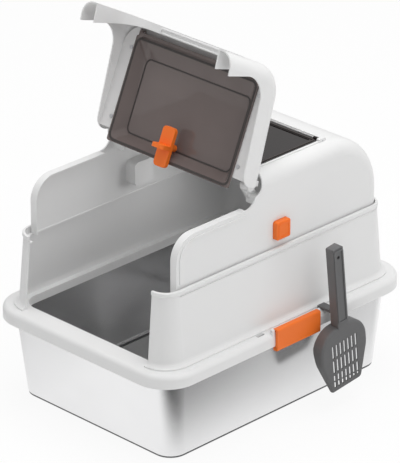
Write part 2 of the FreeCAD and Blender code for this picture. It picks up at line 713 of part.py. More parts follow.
def make_lid():
    """Swing lid, drawn shut about its hinge: two rails, a swept front with an arch, skirts and legs."""
    body = new_body("lid_frame")
    leg_foot = "fence_top + leg_lift - hinge_height"
    skirt = "low_wall + lid_gap - hinge_height"
    leg_rear = "-(hood_front + leg_gap - hinge_setback)"
    brow, foot = "-lid_front + leg_flare / 2", "-lid_front - leg_flare"
    inner_foot = f"{foot} + lid_wall"
    shell = sketch_on(body, "YZ_Plane")
    outline(shell, [
        ("0", "hinge_drop"),
        (brow, "hinge_drop", "lid_front_sweep"),
        (foot, leg_foot),
        ("0", leg_foot),
    ])
    pad(body, shell, "2 * hood_half", both=True)
    inner = sketch_on(body, "YZ_Plane")
    outline(inner, [
        ("overrun", "hinge_drop - lid_wall"),
        (f"{brow} + lid_wall", "hinge_drop - lid_wall", "lid_front_sweep - lid_wall"),
        (inner_foot, leg_foot),
        (inner_foot, f"{leg_foot} - overrun"),
        ("overrun", f"{leg_foot} - overrun"),
    ])
    cut(body, inner, "2 * (hood_half - lid_wall)", both=True)
    round_edges(body, lambda box: upright_at(box, "hood_half - lid_wall") and not level(box, leg_foot)
                and not near(box.YMin, "0"), "lid_edge - lid_wall")
    round_edges(body, lambda box: upright_at(box, "hood_half") and not level(box, leg_foot)
                and not near(box.YMin, "0"), "lid_edge")
    below = sketch_on(body, "YZ_Plane")
    outline(below, [
        ("overrun", skirt),
        (leg_rear, skirt, "post_corner + lid_gap"),
        (leg_rear, f"{leg_foot} - overrun"),
        ("overrun", f"{leg_foot} - overrun"),
    ])
    cut(body, below, "2 * hood_half + overrun", both=True)
    round_edges(body, lambda box: near(box.YMax, "0") and near(box.YMin, "0") and level(box, skirt),
                "skirt_heel")
    arch = sketch_on(body, "XZ_Plane", "lid_front - lid_front_sweep")
    half = "hood_half - leg_width"
    arch_top = "hinge_drop - arch_drop"
    outline(arch, [
        (half, arch_top, "arch_corner"),
        (f"-({half})", arch_top, "arch_corner"),
        (f"-({half})", f"{leg_foot} - overrun"),
        (half, f"{leg_foot} - overrun"),
    ])
    cut(body, arch, "lid_front_sweep + leg_flare + overrun", along=True)
    lip = sketch_on(body, "XZ_Plane", "lid_front - arch_lip_depth")
    outline(lip, [
        (half, arch_top, "arch_corner"),
        (f"-({half})", arch_top, "arch_corner"),
        (f"-({half})", leg_foot),
        (f"-({half}) - lid_wall", leg_foot),
        (f"-({half}) - lid_wall", f"{arch_top} + lid_wall", "arch_corner + lid_wall"),
        (f"{half} + lid_wall", f"{arch_top} + lid_wall", "arch_corner + lid_wall"),
        (f"{half} + lid_wall", leg_foot),
        (half, leg_foot),
    ])
    pad(body, lip, "arch_lip_depth + leg_flare + overrun")
    front = sketch_on(body, "YZ_Plane")
    outline(front, [
        (brow, "hinge_drop"),
        (foot, leg_foot),
        (foot, f"{leg_foot} - overrun"),
        (f"{foot} - 2 * overrun", f"{leg_foot} - overrun"),
        (f"{foot} - 2 * overrun", "hinge_drop"),
    ])
    cut(body, front, "2 * hood_half + overrun", both=True)
    light = sketch_on(body, "XY_Plane", "hinge_drop")
    rectangle(light, "-tray_width / 2 - tray_gap", "tray_width / 2 + tray_gap", "-lid_opening_front",
              "overrun", "tray_corner")
    cut(body, light, "hinge_drop + overrun")
    for side in SIDES.values():
        middle = f"{side} * (eye_outer + eye_inner) / 2"
        web = sketch_on(body, "YZ_Plane", middle)
        rectangle(web, "-hinge_eye", "0", "0", "hinge_drop - lid_wall / 2")
        pad(body, web, "hinge_eye_width", both=True)
        eye = circle(sketch_on(body, "YZ_Plane", middle), "0", "0", "hinge_eye")
        pad(body, eye, "hinge_eye_width", both=True)
        bore = circle(sketch_on(body, "YZ_Plane", middle), "0", "0", "hinge_pin + pin_fit")
        cut(body, bore, "hinge_eye_width", both=True)
    turn_about_x(body, "-hinge_setback", "hinge_height", "-lid_open_angle")


def hang_on_tray_axis(thing):
    """Place a piece that is drawn about the tray window's pin axis, with the lid open."""
    along, up = on_lid("-tray_axis_reach", "-tray_axis_drop")
    turn_about_x(thing, along, up, "-(lid_open_angle + tray_tilt)")


def tray_ear(body, low, across, side):
    """A round-topped ear about the tray window's pin axis."""
    ear = sketch_on(body, "YZ_Plane", f"{side} * ({across})")
    rectangle(ear, "-tray_boss", "tray_boss", low, "tray_boss", "tray_boss * ear_round_share")
    pad(body, ear, "tray_boss_width", both=True)


def make_liner():
    """Frame plate inside the lid around the tray window, with ears and pins at its front corners."""
    body = new_body("lid_liner")
    outer = "hood_half - lid_wall"
    inner = "tray_width / 2 + tray_gap"
    plate = sketch_on(body, "XY_Plane", "liner_low")
    outline(plate, [
        (outer, "liner_length"),
        (inner, "liner_length"),
        (inner, "-liner_front_gap"),
        (f"-({inner})", "-liner_front_gap"),
        (f"-({inner})", "liner_length"),
        (f"-({outer})", "liner_length"),
        (f"-({outer})", "-liner_front_gap - liner_bar", "liner_corner"),
        (outer, "-liner_front_gap - liner_bar", "liner_corner"),
    ])
    pad(body, plate, "liner_sheet")
    middle = f"{inner} + tray_boss_width / 2"
    for name, side in SIDES.items():
        tray_ear(body, "liner_low", middle, side)
        bore = circle(sketch_on(body, "YZ_Plane", f"{side} * ({middle})"), "0", "0", "tray_pin")
        cut(body, bore, "tray_boss_width", both=True)
        ends = sorted((f"{side} * (tray_width / 2 - tray_boss_width)",
                       f"{side} * ({inner} + tray_boss_width)"), key=size)
        along, up = on_lid("-tray_axis_reach", "-tray_axis_drop")
        pin(f"front_window_pin_{name}", "tray_pin", *ends, along, up)
    hang_on_tray_axis(body)


def make_front_window():
    """Tinted tray that closes the lid, drawn about its pins: flange, sloped walls and a flat sheet."""
    body = new_body("front_window")
    half = "tray_width / 2"
    flange_low = "tray_rim - tray_flange"
    flange = sketch_on(body, "XY_Plane", flange_low)
    rectangle(flange, f"-({half})", half, "0", "tray_length")
    pad(body, flange, "tray_flange")
    lip = sketch_on(body, "XY_Plane", flange_low)
    rectangle(lip, f"-({half}) - tray_lip", f"{half} + tray_lip", "tray_boss + tray_flange",
              "tray_length + tray_lip", "tray_lip")
    pad(body, lip, "tray_flange")
    low = sketch_on(body, "XY_Plane", flange_low)
    rectangle(low, f"-({half})", half, "tray_front", "tray_length", "tray_corner")
    high = sketch_on(body, "XY_Plane", "tray_rim + tray_depth")
    rectangle(high, f"-({half}) + tray_side_slope", f"{half} - tray_side_slope", "tray_front + tray_slope",
              "tray_length - tray_side_slope", "tray_corner")
    loft(body, low, high)
    wall = "window_sheet"
    low = sketch_on(body, "XY_Plane", flange_low)
    rectangle(low, f"-({half}) + {wall}", f"{half} - {wall}", f"tray_front + {wall}", f"tray_length - {wall}",
              f"tray_corner - {wall}")
    high = sketch_on(body, "XY_Plane", f"tray_rim + tray_depth - {wall}")
    rectangle(high, f"-({half}) + tray_side_slope + {wall}", f"{half} - tray_side_slope - {wall}",
              f"tray_front + tray_slope + {wall}", f"tray_length - tray_side_slope - {wall}",
              f"tray_corner - {wall}")
    loft(body, low, high, subtract=True)
    middle = f"{half} - tray_boss_width / 2"
    for side in SIDES.values():
        tray_ear(body, flange_low, middle, side)
        bore = circle(sketch_on(body, "YZ_Plane", f"{side} * ({middle})"), "0", "0", "tray_pin + pin_fit")
        cut(body, bore, "tray_boss_width", both=True)
    stem = circle(sketch_on(body, "XY_Plane", "tray_rim + tray_depth"), "-latch_off_centre", "latch_pivot",
                  "latch_stem + pin_fit")
    cut(body, stem, "2 * window_sheet")
    hang_on_tray_axis(body)


def make_window_latch():
    """Turn latch under the tray's free edge: plate, finger fin and stem, with a collar beyond the sheet."""
    body = new_body("window_latch")
    top = "tray_rim - tray_flange - latch_float"
    left, right = "-latch_off_centre - latch_width / 2", "-latch_off_centre + latch_width / 2"
    end = "tray_length + latch_overhang"
    plate = sketch_on(body, "XY_Plane", top)
    rectangle(plate, left, right, f"{end} - latch_length", end, "latch_corner")
    pad(body, plate, "latch_plate", backwards=True)
    fin = sketch_on(body, "XZ_Plane", f"-({end} - latch_length / 2)")
    fin_low = f"{top} - latch_plate - latch_fin_height"
    outline(fin, [
        (right, f"{top} - latch_plate / 2"),
        (left, f"{top} - latch_plate / 2"),
        (left, fin_low, "latch_corner"),
        (right, fin_low, "latch_corner"),
    ])
    pad(body, fin, "latch_fin", both=True)
    stem_top = "tray_rim + tray_depth + latch_float + latch_collar_height"
    stem = circle(sketch_on(body, "XY_Plane", stem_top), "-latch_off_centre", "latch_pivot", "latch_stem")
    pad(body, stem, f"{stem_top} - ({top}) + latch_plate / 2", backwards=True)
    hang_on_tray_axis(body)
    collar = new_body("window_latch_collar")
    ring = circle(sketch_on(collar, "XY_Plane", stem_top), "-latch_off_centre", "latch_pivot", "latch_collar")
    circle(ring, "-latch_off_centre", "latch_pivot", "latch_stem")
    pad(collar, ring, "latch_collar_height", backwards=True)
    hang_on_tray_axis(collar)


def make_rear_window():
    """Flat tinted window in the roof with a raised border, barrels at its rear corners, and its pins."""
    body = new_body("rear_window")
    low = "roof - window_recess + window_lift"
    half = "rear_window_width / 2"
    plate = sketch_on(body, "XY_Plane", low)
    rectangle(plate, f"-({half})", half, "-rear_window_front", "rear_axis", "rear_window_corner")
    pad(body, plate, "window_sheet")
    border = sketch_on(body, "XY_Plane", low)
    rectangle(border, f"-({half})", half, "-rear_window_front", "rear_axis", "rear_window_corner")
    rectangle(border, f"-({half}) + window_frame", f"{half} - window_frame",
              "-rear_window_front + window_frame", "rear_axis - window_frame", "rear_window_corner")
    pad(body, border, "window_sheet + window_frame_rise")
    for name, side in SIDES.items():
        middle = f"{side} * ({half} - window_barrel_width / 2)"
        link = sketch_on(body, "YZ_Plane", middle)
        rectangle(link, "rear_axis - window_barrel", "rear_axis", low, "rear_axis_height")
        pad(body, link, "window_barrel_width", both=True)
        barrel = sketch_on(body, "YZ_Plane", middle)
        circle(barrel, "rear_axis", "rear_axis_height", "window_barrel")
        pad(body, barrel, "window_barrel_width", both=True)
        bore = sketch_on(body, "YZ_Plane", middle)
        circle(bore, "rear_axis", "rear_axis_height", "window_pin + pin_fit")
        cut(body, bore, "window_barrel_width", both=True)
        ends = sorted((f"{side} * ({half} - window_barrel_width)",
                       f"{side} * ({half} + window_fit + window_bracket_width)"), key=size)
        pin(f"rear_window_pin_{name}", "window_pin", *ends, "rear_axis", "rear_axis_height")


def make_clamps():
    """Clamps that hook under the rim's sides, each hung on a pin between two lugs of the rim."""
    for name, side in SIDES.items():
        body = new_body(f"side_latch_{name}")
        inner = "rim_width / 2 + clamp_stand_off"
        outer = f"{inner} + clamp_plate"
        top = "rim_top + clamp_axis_lift + clamp_barrel"
        foot = f"{top} - clamp_drop"
        axis_height = "rim_top + clamp_axis_lift"
        profile = sketch_on(body, "XZ_Plane", "-side_feature_offset")
        outline(profile, [
            (f"{side} * ({outer})", top, "clamp_plate * lug_round_share"),
            (f"{side} * clamp_axis", top),
            (f"{side} * clamp_axis", axis_height),
            (f"{side} * ({inner})", axis_height),
            (f"{side} * ({inner})", f"{foot} + clamp_toe"),
            (f"{side} * ({inner} - clamp_toe_reach)", f"{foot} + clamp_toe"),
            (f"{side} * ({inner} - clamp_toe_reach)", foot),
            (f"{side} * ({outer})", foot, "clamp_plate * lug_round_share"),
        ])
        pad(body, profile, "clamp_length", both=True)
        barrel = sketch_on(body, "XZ_Plane", "-side_feature_offset")
        circle(barrel, f"{side} * clamp_axis", axis_height, "clamp_barrel")
        pad(body, barrel, "clamp_length", both=True)
        bore = sketch_on(body, "XZ_Plane", "-side_feature_offset")
        circle(bore, f"{side} * clamp_axis", axis_height, "clamp_pin + pin_fit")
        cut(body, bore, "clamp_length", both=True)
        rod = doc.addObject("Part::Cylinder", f"side_latch_pin_{name}")
        rod.Label = f"side_latch_pin_{name}"
        bind(rod, "Radius", "clamp_pin")
        bind(rod, "Height", "clamp_length + 2 * (clamp_side_gap + clamp_lug)")
        rod.Placement = Placement(Vector(), Rotation(Vector(1, 0, 0), -90))
        bind(rod, "Placement.Base.x", f"{side} * clamp_axis")
        bind(rod, "Placement.Base.y", "side_feature_offset - clamp_length / 2 - clamp_side_gap - clamp_lug")
        bind(rod, "Placement.Base.z", axis_height)
        pieces[rod.Label] = rod


def set_in_wall(thing, side):
    """Turn a piece drawn with +Z outward to a side of the hood, its origin in the wall's outer face."""
    thing.Placement = Placement(Vector(), Rotation(Vector(0, 1, 0), side * 90))
    bind(thing, "Placement.Base.x", f"{side} * hood_half")
    bind(thing, "Placement.Base.y", "side_feature_offset")
    bind(thing, "Placement.Base.z", "button_height")


def make_buttons():
    """Sprung buttons in the hood's sides, each with a housing on the inside and a coil spring."""
    for name, side in SIDES.items():
        button = new_body(f"hood_button_{name}")
        cap = ("button_size", "button_size", "button_edge")
        pad(button, centred(sketch_on(button, "XY_Plane", "-hood_wall - button_flange / 2"), *cap),
            "hood_wall + button_flange / 2 + button_proud")
        round_edges(button, lambda box: level(box, "button_proud"), "button_edge * lug_round_share")
        flange = sketch_on(button, "XY_Plane", "-hood_wall - button_gap")
        centred(flange, *inset(cap, "-button_flange_reach"))
        pad(button, flange, "button_flange", backwards=True)
        set_in_wall(button, side)
        housing = new_body(f"button_housing_{name}")
        cup = inset(cap, "-(button_flange_reach + button_fit + housing_wall)")
        block = centred(sketch_on(housing, "XY_Plane", "-hood_wall"), *cup)
        pad(housing, block, "housing_depth", backwards=True)
        hollow = centred(sketch_on(housing, "XY_Plane", "-hood_wall"), *inset(cup, "housing_wall"))
        cut(housing, hollow, "housing_depth - housing_wall")
        set_in_wall(housing, side)
        spring = new_body(f"button_spring_{name}")
        wire = circle(sketch_on(spring, "XZ_Plane"), "spring_radius", "spring_wire / 2", "spring_wire / 2")
        coil = spring.newObject("PartDesign::AdditiveHelix", f"{spring.Label}_coil")
        coil.Profile = wire
        coil.ReferenceAxis = (wire, ["V_Axis"])
        coil.Mode = "height-turns-angle"
        pressed_room = "housing_depth - housing_wall - button_gap - button_flange - button_travel"
        bind(coil, "Height", f"{pressed_room} - 2 * spring_wire")
        bind(coil, "Turns", "spring_turns")
        doc.recompute()
        set_in_wall(spring, side)
        bind(spring, "Placement.Base.x", f"{side} * (hood_half - hood_wall - housing_depth + housing_wall)")


def leaned(along, up):
    """Expressions in the leaning scoop's own frame for an upright offset from its lip."""
    return (f"({along}) * cos(scoop_lean) + ({up}) * sin(scoop_lean)",
            f"-({along}) * sin(scoop_lean) + ({up}) * cos(scoop_lean)")


def make_scoop():
    """Sieve scoop that hangs on the rim: tapering bowl, slotted back, handle with a hole, and a hook."""
    body = new_body("litter_scoop")
    back = "handle_thickness / 2"
    half, lip = "head_width / 2", "head_lip_width / 2"
    head = [
        (lip, "0", "bowl_edge"),
        (half, "head_flare", "head_shoulder"),
        (half, "head_length", "head_shoulder"),
        (f"-({half})", "head_length", "head_shoulder"),
        (f"-({half})", "head_flare", "head_shoulder"),
        (f"-({lip})", "0", "bowl_edge"),
    ]
    pad(body, outline(sketch_on(body, "YZ_Plane", back), head), "bowl_depth", backwards=True)
    round_edges(body, lambda box: near(box.XMin, back) and near(box.XMax, back),
                "bowl_edge * bowl_round_share")
    bowl = sketch_on(body, "YZ_Plane", f"{back} - bowl_depth")
    outline(bowl, [
        (f"{lip} - bowl_sheet", "-overrun"),
        (f"{lip} - bowl_sheet", "0"),
        (f"{half} - bowl_sheet", "head_flare", "head_shoulder"),
        (f"{half} - bowl_sheet", "head_length - bowl_sheet", "head_shoulder - bowl_sheet"),
        (f"-({half}) + bowl_sheet", "head_length - bowl_sheet", "head_shoulder - bowl_sheet"),
        (f"-({half}) + bowl_sheet", "head_flare", "head_shoulder"),
        (f"-({lip}) + bowl_sheet", "0"),
        (f"-({lip}) + bowl_sheet", "-overrun"),
    ])
    cut(body, bowl, "bowl_depth - bowl_sheet", along=True)
    taper = sketch_on(body, "XZ_Plane")
    outline(taper, [
        (f"{back} - bowl_sheet", "-overrun"),
        (f"{back} - bowl_sheet", "0"),
        (f"{back} - bowl_depth", "bowl_taper"),
        (f"{back} - bowl_depth - overrun", "bowl_taper"),
        (f"{back} - bowl_depth - overrun", "-overrun"),
    ])
    cut(body, taper, "head_width + overrun", both=True)
    sieve = sketch_on(body, "YZ_Plane", f"{back} + overrun")
    for row_index in range(SIEVE_ROWS):
        low = f"sieve_margin + {row_index} * (sieve_length + sieve_bridge)"
        for column in range(SIEVE_COLUMNS):
            middle = f"({column} - {SIEVE_COLUMNS - 1} / 2) * sieve_pitch"
            rectangle(sieve, f"{middle} - sieve_slot / 2", f"{middle} + sieve_slot / 2", low,
                      f"{low} + sieve_length")
    cut(body, sieve, "overrun + 2 * bowl_sheet")
    handle = sketch_on(body, "YZ_Plane")
    top = "scoop_length"
    outline(handle, [
        ("handle_width / 2", top, "handle_width * handle_round_share"),
        ("-handle_width / 2", top, "handle_width * handle_round_share"),
        ("-handle_width / 2", f"{top} - handle_length"),
        ("handle_width / 2", f"{top} - handle_length"),
    ])
    pad(body, handle, "handle_thickness", both=True)
    hole = circle(sketch_on(body, "YZ_Plane"), "0", f"{top} - hang_hole_drop", "hang_hole")
    cut(body, hole, "2 * handle_thickness", both=True)
    slot_along = "side_feature_offset + slot_spacing / 2 - scoop_along"
    tongue_end = "rim_width / 2 - hook_inset - hook_thickness / 2 - scoop_out"
    tab_low = "rim_top + hook_fit - scoop_height"
    tab_high = f"{tab_low} + hook_thickness"
    tongue_low = "rim_top - rim_wall + hook_fit - scoop_height"
    for low, length in ((tab_low, f"-({tongue_end}) - {back} + hook_fit"), (tongue_low, "hook_thickness")):
        tab = sketch_on(body, "YZ_Plane", tongue_end)
        outline(tab, [
            leaned(f"{slot_along} + hook_width / 2", tab_high),
            leaned(f"{slot_along} - hook_width / 2", tab_high),
            leaned(f"{slot_along} - hook_width / 2", low),
            leaned(f"{slot_along} + hook_width / 2", low),
        ])
        pad(body, tab, length)
    turn_about_x(body, "scoop_along", "scoop_height", "scoop_lean", "scoop_out")


make_pan()
make_rim()
make_fence()
make_hood()
make_hinge_arms()
make_lid()
make_liner()
make_front_window()
make_window_latch()
make_rear_window()
make_clamps()
make_buttons()
make_scoop()
doc.recompute()

for thing in doc.Objects:
    if "Invalid" in thing.State or "Error" in thing.State:
        raise ValueError(f"{thing.Label} did not recompute")
os.makedirs("parts", exist_ok=True)
for label, piece in pieces.items():
    if piece.Shape.isNull() or not piece.Shape.isValid() or len(piece.Shape.Solids) != 1:
        raise ValueError(f"{label} is not one sound solid")
    piece.Shape.exportStep(f"parts/{label}.step")
    print(label, round(piece.Shape.Volume), piece.Shape.BoundBox)
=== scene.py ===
"""Looks of the enclosed litter box: finishes, trim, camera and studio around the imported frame.

Metres, in the frame's own axes: +Z up, the entry faces -Y and the scoop hangs on the +X side.
"""
import json
import logging
import math
from dataclasses import dataclass, field
from enum import Enum
from typing import Any

import bpy
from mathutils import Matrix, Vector


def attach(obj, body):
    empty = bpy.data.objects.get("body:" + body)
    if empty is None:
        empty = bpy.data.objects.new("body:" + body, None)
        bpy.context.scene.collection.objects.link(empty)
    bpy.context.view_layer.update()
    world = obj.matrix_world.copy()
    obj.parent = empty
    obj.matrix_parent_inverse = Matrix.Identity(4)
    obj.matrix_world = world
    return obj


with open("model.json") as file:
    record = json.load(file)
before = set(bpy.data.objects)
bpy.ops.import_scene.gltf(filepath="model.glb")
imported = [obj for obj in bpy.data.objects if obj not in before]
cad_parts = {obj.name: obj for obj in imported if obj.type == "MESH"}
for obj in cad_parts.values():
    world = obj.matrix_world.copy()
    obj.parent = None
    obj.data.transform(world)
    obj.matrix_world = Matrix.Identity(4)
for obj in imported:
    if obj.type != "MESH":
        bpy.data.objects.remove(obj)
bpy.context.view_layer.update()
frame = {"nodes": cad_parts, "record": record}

log = logging.getLogger("litter_box")
Colour = tuple[float, float, float]
Point = tuple[float, float, float]
WHITE: Colour = (1.0, 1.0, 1.0)
BLACK: Colour = (0.0, 0.0, 0.0)
EVEN: Point = (1.0, 1.0, 1.0)
FLAT: Point = (0.0, 0.0, 0.0)
QUARTER_TURN = 90.0
HALF_TURN = 180.0
PLASTIC_IOR = 1.49
NOISE_ROUGHNESS = 0.55
NOISE_MIDDLE = 0.5


class Body(Enum):
    """The bodies of the frame that new pieces ride on."""

    BASE = "base"
    LID = "lid"
    TRAY = "tray_window"
    ROOF = "roof_window"
    BUTTON_LEFT = "button_left"
    BUTTON_RIGHT = "button_right"
    SCOOP = "scoop"


class Slot(Enum):
    """The record's material slots."""

    WHITE = "white_plastic"
    STEEL = "pan_steel"
    TINT = "tinted_sheet"
    ACCENT = "accent_plastic"
    SCOOP = "scoop_plastic"
    PIN = "pin_steel"


class Side(Enum):
    """The two sides of the box, by the sign of X."""

    LEFT = -1.0
    RIGHT = 1.0


class Octaves(Enum):
    """How fine a noise is."""

    SOFT = 2.0
    PLAIN = 3.0
    MIXED = 4.0
    FINE = 5.0


class Ray(Enum):
    """The rays that the studio tells apart."""

    CAMERA = "Is Camera Ray"
    GLOSSY = "Is Glossy Ray"
    TRANSMISSION = "Is Transmission Ray"


class Wire:
    """A shader socket that can be used in sums."""

    def __init__(self, graph: "Graph", socket: bpy.types.NodeSocket) -> None:
        """Keep a socket with the graph that it belongs to.

        Args:
            graph: the shader graph that gets the added nodes.
            socket: an output socket of that graph.
        """
        self.graph = graph
        self.socket = socket

    def _math(self, operation: str, first: Any, second: Any) -> "Wire":
        """Add one Math node.

        Args:
            operation: the Math node's operation.
            first: the first value or wire.
            second: the second value or wire.

        Returns:
            The result as a wire.
        """
        return self.graph.node("ShaderNodeMath", {"operation": operation}, {0: first, 1: second})

    def __add__(self, other: Any) -> "Wire":
        """Sum."""
        return self._math("ADD", self, other)

    def __radd__(self, other: Any) -> "Wire":
        """Reflected sum."""
        return self._math("ADD", other, self)

    def __sub__(self, other: Any) -> "Wire":
        """Difference."""
        return self._math("SUBTRACT", self, other)

    def __rsub__(self, other: Any) -> "Wire":
        """Reflected difference."""
        return self._math("SUBTRACT", other, self)

    def __mul__(self, other: Any) -> "Wire":
        """Product."""
        return self._math("MULTIPLY", self, other)

    def __rmul__(self, other: Any) -> "Wire":
        """Reflected product."""
        return self._math("MULTIPLY", other, self)

    def most(self, other: Any) -> "Wire":
        """The larger of two values."""
        return self._math("MAXIMUM", self, other)


class Graph:
    """The node tree of one material or of the world, with its main shader."""

    def __init__(self, owner: bpy.types.Material | bpy.types.World, shader: str = "Principled BSDF") -> None:
        """Take over the nodes of a new material or world.

        Args:
            owner: what the nodes belong to.
            shader: the name of its main shader node.
        """
        owner.use_nodes = True
        self.owner = owner
        self.tree = owner.node_tree
        self.shader = self.tree.nodes[shader]

    def node(self, kind: str, settings: dict[str, Any], inputs: dict[Any, Any], output: Any = 0) -> Wire:
        """Add a node.

        Args:
            kind: the node's type.
            settings: properties to set first.
            inputs: values or wires by socket name or number.
            output: the name or number of the output to hand back.

        Returns:
            The chosen output as a wire.
        """
        node = self.tree.nodes.new(kind)
        for name, value in settings.items():
            setattr(node, name, value)
        for name, value in inputs.items():
            self.feed(node.inputs[name], value)
        return Wire(self, node.outputs[output])

    def feed(self, socket: bpy.types.NodeSocket, value: Any) -> None:
        """Link a wire to a socket, or set the socket's own value.

        Args:
            socket: the input to fill.
            value: a wire, a number or a tuple.
        """
        if isinstance(value, Wire):
            self.tree.links.new(value.socket, socket)
        else:
            socket.default_value = value

    def set(self, **values: Any) -> None:
        """Fill the main shader's sockets, with underscores for spaces."""
        for name, value in values.items():
            self.feed(self.shader.inputs[name.replace("_", " ")], value)

    def place(self, stretch: Point = EVEN) -> Wire:
        """Object coordinates, stretched.

        Args:
            stretch: how many times finer the pattern is along each axis.

        Returns:
            The coordinates as a wire.
        """
        raw = self.node("ShaderNodeTexCoord", {}, {}, "Object")
        return self.node("ShaderNodeMapping", {}, {"Vector": raw, "Scale": stretch})

    def noise(self, scale: float, octaves: Octaves = Octaves.PLAIN, stretch: Point = EVEN) -> Wire:
        """Smooth noise from 0 to 1.

        Args:
            scale: bumps per metre.
            octaves: how fine it is.
            stretch: how many times finer along each axis.

        Returns:
            The noise as a wire.
        """
        return self.node("ShaderNodeTexNoise", {}, {"Vector": self.place(stretch), "Scale": scale,
                                                    "Detail": octaves.value, "Roughness": NOISE_ROUGHNESS})

    def remap(self, value: Wire, start: float, end: float, low: float = 0.0, high: float = 1.0,
              style: str = "LINEAR") -> Wire:
        """Carry a value from one range to another, held at its ends.

        Args:
            value: the value to carry over.
            start: where the first range starts.
            end: where the first range ends.
            low: the result at the start.
            high: the result at the end.
            style: the Map Range node's interpolation.

        Returns:
            The result as a wire.
        """
        return self.node("ShaderNodeMapRange", {"interpolation_type": style, "clamp": True},
                         {0: value, 1: start, 2: end, 3: low, 4: high})

    def tint(self, mask: Wire, low: "Colour | Wire", high: Colour) -> Wire:
        """A colour that runs between two with a mask, through the colour sockets of a Mix node.

        Args:
            mask: 0 for the first colour, 1 for the second.
            low: the first colour, or a wire of it.
            high: the second colour.

        Returns:
            The colour as a wire.
        """
        first = low if isinstance(low, Wire) else (*low, 1.0)
        return self.node("ShaderNodeMix", {"data_type": "RGBA"}, {0: mask, 6: first, 7: (*high, 1.0)}, 2)

    def relief(self, height: Wire, strength: float, depth: float) -> Wire:
        """A bump normal.

        Args:
            height: the relief from 0 to 1.
            strength: how much of it shows.
            depth: its depth in metres.

        Returns:
            The normal as a wire.
        """
        return self.node("ShaderNodeBump", {}, {"Strength": strength, "Distance": depth, "Height": height})

    def ray(self, kind: Ray) -> Wire:
        """1 for rays of one kind, 0 for the others."""
        return self.node("ShaderNodeLightPath", {}, {}, kind.value)


def shade(colour: Colour, factor: float) -> Colour:
    """A colour made darker or lighter.

    Args:
        colour: the colour to change.
        factor: what each channel is multiplied by.

    Returns:
        The changed colour, no channel above 1.
    """
    return tuple(min(1.0, channel * factor) for channel in colour)


@dataclass(frozen=True)
class MouldedPlastic:
    """Injection-moulded plastic: a fine spark-eroded grain, slow flow marks and light handling marks."""

    name: str
    colour: Colour
    roughness: float
    grain_depth: float = 0.00004
    grain_scale: float = 1500.0
    grain_show: float = 0.35
    flow_scale: float = 7.0
    mottle: float = 0.03
    gloss_drift: float = 0.12
    rub_scale: float = 60.0
    rub_stretch: Point = (1.0, 1.0, 3.0)
    rub_from: float = 0.56
    rub_to: float = 0.74
    rub_gloss: float = 0.08
    scuff: float = 0.0
    scuff_lift: float = 1.5

    def make(self) -> bpy.types.Material:
        """Build the material.

        Returns:
            The finished material.
        """
        graph = Graph(bpy.data.materials.new(self.name))
        flow = graph.noise(self.flow_scale, Octaves.SOFT)
        grain = graph.noise(self.grain_scale, Octaves.SOFT)
        rub = graph.noise(self.rub_scale, Octaves.FINE, self.rub_stretch)
        marks = graph.remap(rub, self.rub_from, self.rub_to)
        dark = shade(self.colour, 1.0 - self.mottle)
        light = shade(self.colour, 1.0 + self.mottle)
        colour = graph.tint(flow, dark, light)
        if self.scuff:
            colour = graph.tint(marks * self.scuff, colour, shade(self.colour, self.scuff_lift))
        roughness = self.roughness + (flow - NOISE_MIDDLE) * self.gloss_drift + marks * self.rub_gloss
        graph.set(Base_Color=colour, Roughness=roughness, IOR=PLASTIC_IOR,
                  Normal=graph.relief(grain, self.grain_show, self.grain_depth))
        return graph.owner


@dataclass(frozen=True)
class PressedSteel:
    """Pressed stainless sheet: a fine brushed line round the walls, and broad streaks of lighter and darker
    colour that are painted reflections as well as faint smears.
    """

    name: str
    colour: Colour
    roughness: float
    metal: float = 1.0
    line_scale: float = 900.0
    line_stretch: Point = (0.012, 0.012, 1.0)
    line_depth: float = 0.00002
    line_show: float = 0.25
    line_gloss: float = 0.10
    smear_and_reflection_scale: float = 5.0
    smear_and_reflection_stretch: Point = (1.0, 1.0, 1.6)
    smear_and_reflection_dark: float = 0.91
    smear_and_reflection_light: float = 1.05
    smear_and_reflection_gloss: float = 0.14

    def make(self) -> bpy.types.Material:
        """Build the material.

        Returns:
            The finished material.
        """
        graph = Graph(bpy.data.materials.new(self.name))
        lines = graph.noise(self.line_scale, Octaves.SOFT, self.line_stretch)
        # painted reflection: a broad stretched noise makes the colour lighter and darker in streaks, standing
        # in for streaky reflections on the steel as well as smears
        smear_and_reflection = graph.noise(self.smear_and_reflection_scale, Octaves.MIXED, self.smear_and_reflection_stretch)
        colour = graph.tint(smear_and_reflection, shade(self.colour, self.smear_and_reflection_dark), shade(self.colour, self.smear_and_reflection_light))
        brushed = self.roughness + (lines - NOISE_MIDDLE) * self.line_gloss
        roughness = brushed + (smear_and_reflection - NOISE_MIDDLE) * self.smear_and_reflection_gloss
        graph.set(Base_Color=colour, Roughness=roughness, Metallic=self.metal,
                  Normal=graph.relief(lines, self.line_show, self.line_depth))
        return graph.owner


@dataclass(frozen=True)
class TintedSheet:
    """Smoke-tinted clear sheet with slight waviness and dust in its gloss."""

    name: str
    colour: Colour
    cover: float
    roughness: float = 0.07
    wave_scale: float = 14.0
    wave_dark: float = 0.9
    wave_light: float = 1.1
    wave_show: float = 0.15
    wave_depth: float = 0.0006
    dust_scale: float = 420.0
    dust_gloss: float = 0.06

    def make(self) -> bpy.types.Material:
        """Build the material.

        Returns:
            The finished material.
        """
        graph = Graph(bpy.data.materials.new(self.name))
        wave = graph.noise(self.wave_scale, Octaves.SOFT)
        dust = graph.noise(self.dust_scale, Octaves.MIXED)
        colour = graph.tint(wave, shade(self.colour, self.wave_dark), shade(self.colour, self.wave_light))
        graph.set(Base_Color=colour, Roughness=self.roughness + dust * self.dust_gloss, Alpha=self.cover,
                  IOR=PLASTIC_IOR, Normal=graph.relief(wave, self.wave_show, self.wave_depth))
        return graph.owner


